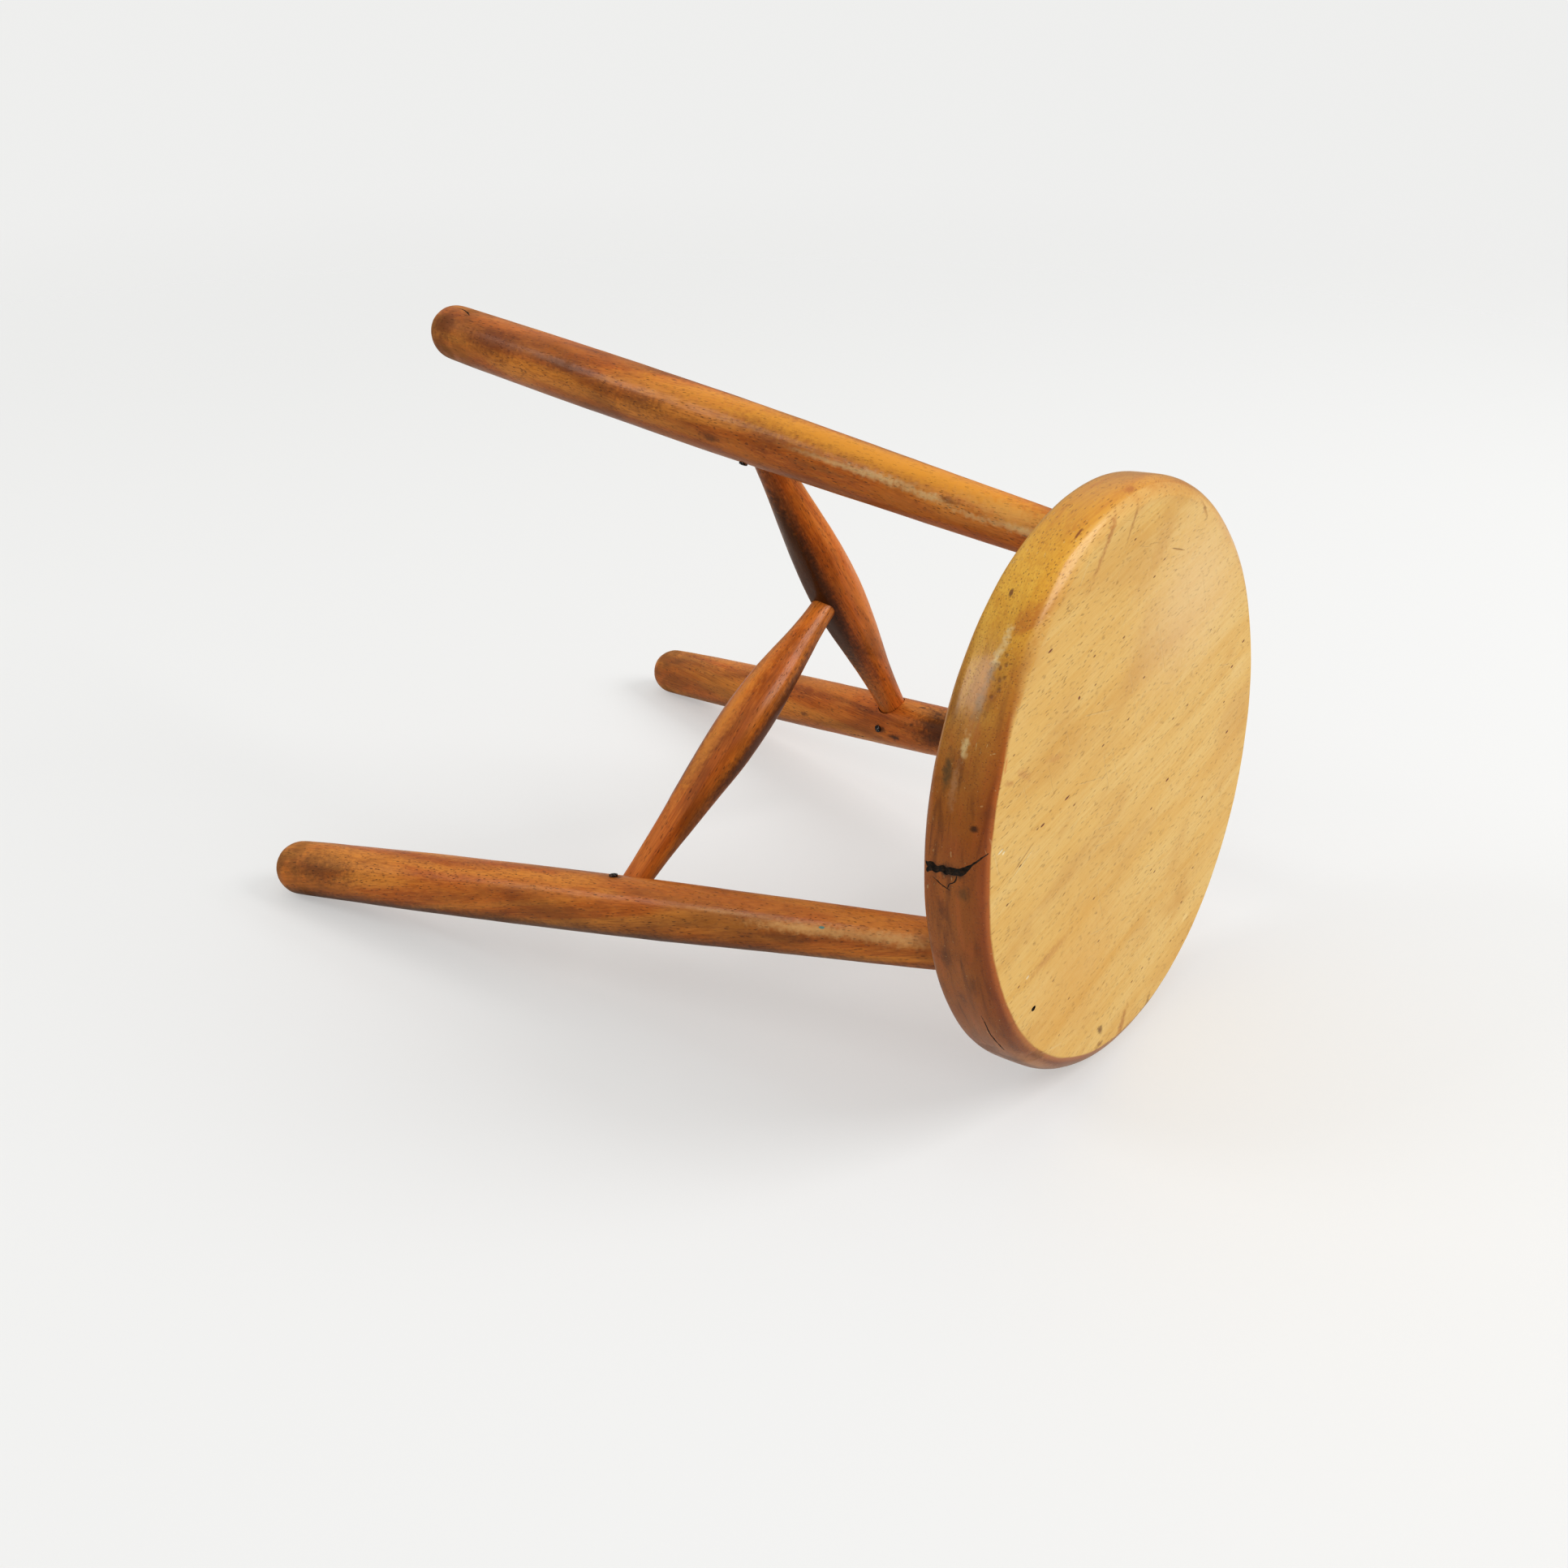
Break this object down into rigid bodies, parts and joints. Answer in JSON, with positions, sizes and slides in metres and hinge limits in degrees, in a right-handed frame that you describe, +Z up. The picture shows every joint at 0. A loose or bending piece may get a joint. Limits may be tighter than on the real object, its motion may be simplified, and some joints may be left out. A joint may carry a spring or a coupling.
{
  "type": "three-legged stool",
  "caption": "Round-seat wooden stool on raked round legs, braced by a T of swelled stretchers, with a nail pinning each leg joint.",
  "frame": {"origin": "on the floor, under the centre of the round seat", "axes": "+Z up through the centre of the seat; +Y towards the back leg, which takes the centre stretcher; +X towards the right leg, along the cross stretcher"},
  "size_m": [0.3316, 0.3365, 0.445],
  "materials": {
    "seat_wood": "worn clear varnish, satin, on honey-coloured beech",
    "leg_wood": "worn varnish, satin, on red-brown beech",
    "stretcher_wood": "worn varnish, satin, on red-brown beech",
    "nail_steel": "dark, oxidised"
  },
  "bodies": {
    "root": {"seat": "seat_wood", "leg_back": "leg_wood", "leg_right": "leg_wood", "leg_left": "leg_wood", "cross_stretcher": "stretcher_wood", "centre_stretcher": "stretcher_wood", "nail_back": "nail_steel", "nail_right": "nail_steel", "nail_left": "nail_steel"}
  },
  "joints": []
}
